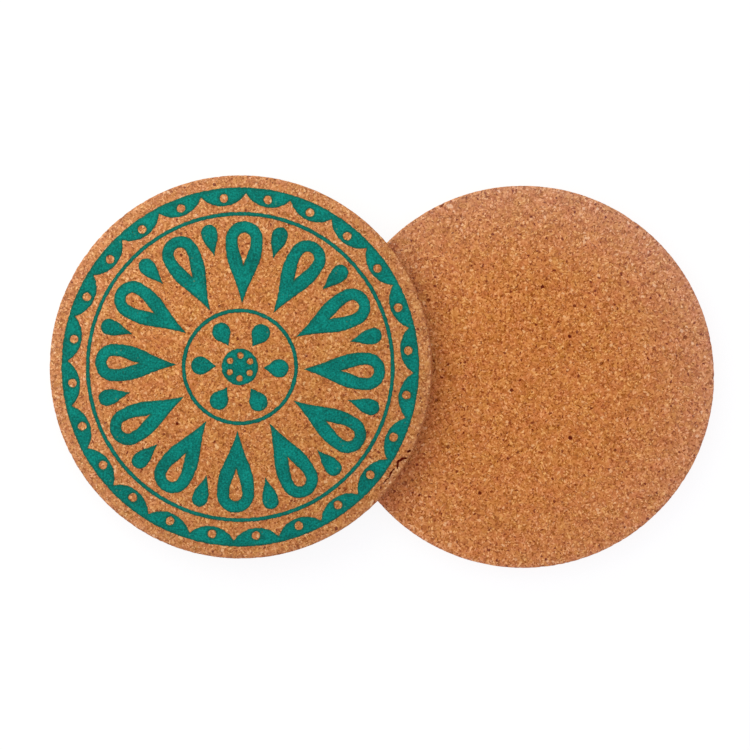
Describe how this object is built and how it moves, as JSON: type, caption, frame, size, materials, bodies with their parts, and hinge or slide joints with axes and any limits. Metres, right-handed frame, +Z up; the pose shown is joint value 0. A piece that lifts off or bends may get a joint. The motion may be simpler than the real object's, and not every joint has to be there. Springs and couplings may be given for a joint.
{
  "type": "cork coaster",
  "caption": "Round cork drink coasters: one with a printed rosette leans with its edge over a plain one that lies flat on the table.",
  "frame": {"origin": "on the table, under the middle of the pair's box", "axes": "+X from the printed coaster to the plain one, +Z up from the table"},
  "size_m": [0.1738, 0.1, 0.012],
  "materials": {
    "cork": "sanded agglomerated cork, matte, fine granules in a resin binder",
    "ink": "dried screen-printing ink, opaque, low sheen"
  },
  "bodies": {
    "plain_coaster": {"plain_cork_disc": "cork"},
    "printed_coaster": {"printed_cork_disc": "cork", "print_border": "ink", "print_outer_ring": "ink", "print_inner_ring": "ink", "print_petal_01": "ink", "print_petal_02": "ink", "print_petal_03": "ink", "print_petal_04": "ink", "print_petal_05": "ink", "print_petal_06": "ink", "print_petal_07": "ink", "print_petal_08": "ink", "print_petal_09": "ink", "print_petal_10": "ink", "print_petal_11": "ink", "print_petal_12": "ink", "print_drop_01": "ink", "print_drop_02": "ink", "print_drop_03": "ink", "print_drop_04": "ink", "print_drop_05": "ink", "print_drop_06": "ink", "print_drop_07": "ink", "print_drop_08": "ink", "print_drop_09": "ink", "print_drop_10": "ink", "print_drop_11": "ink", "print_drop_12": "ink", "print_bud_01": "ink", "print_bud_02": "ink", "print_bud_03": "ink", "print_bud_04": "ink", "print_bud_05": "ink", "print_bud_06": "ink", "print_hub": "ink"}
  },
  "joints": [
    {"name": "lift_printed_coaster", "type": "slide", "parent": "plain_coaster", "child": "printed_coaster", "axis": [0, 0, 1], "range_m": [0, 0.06]}
  ]
}
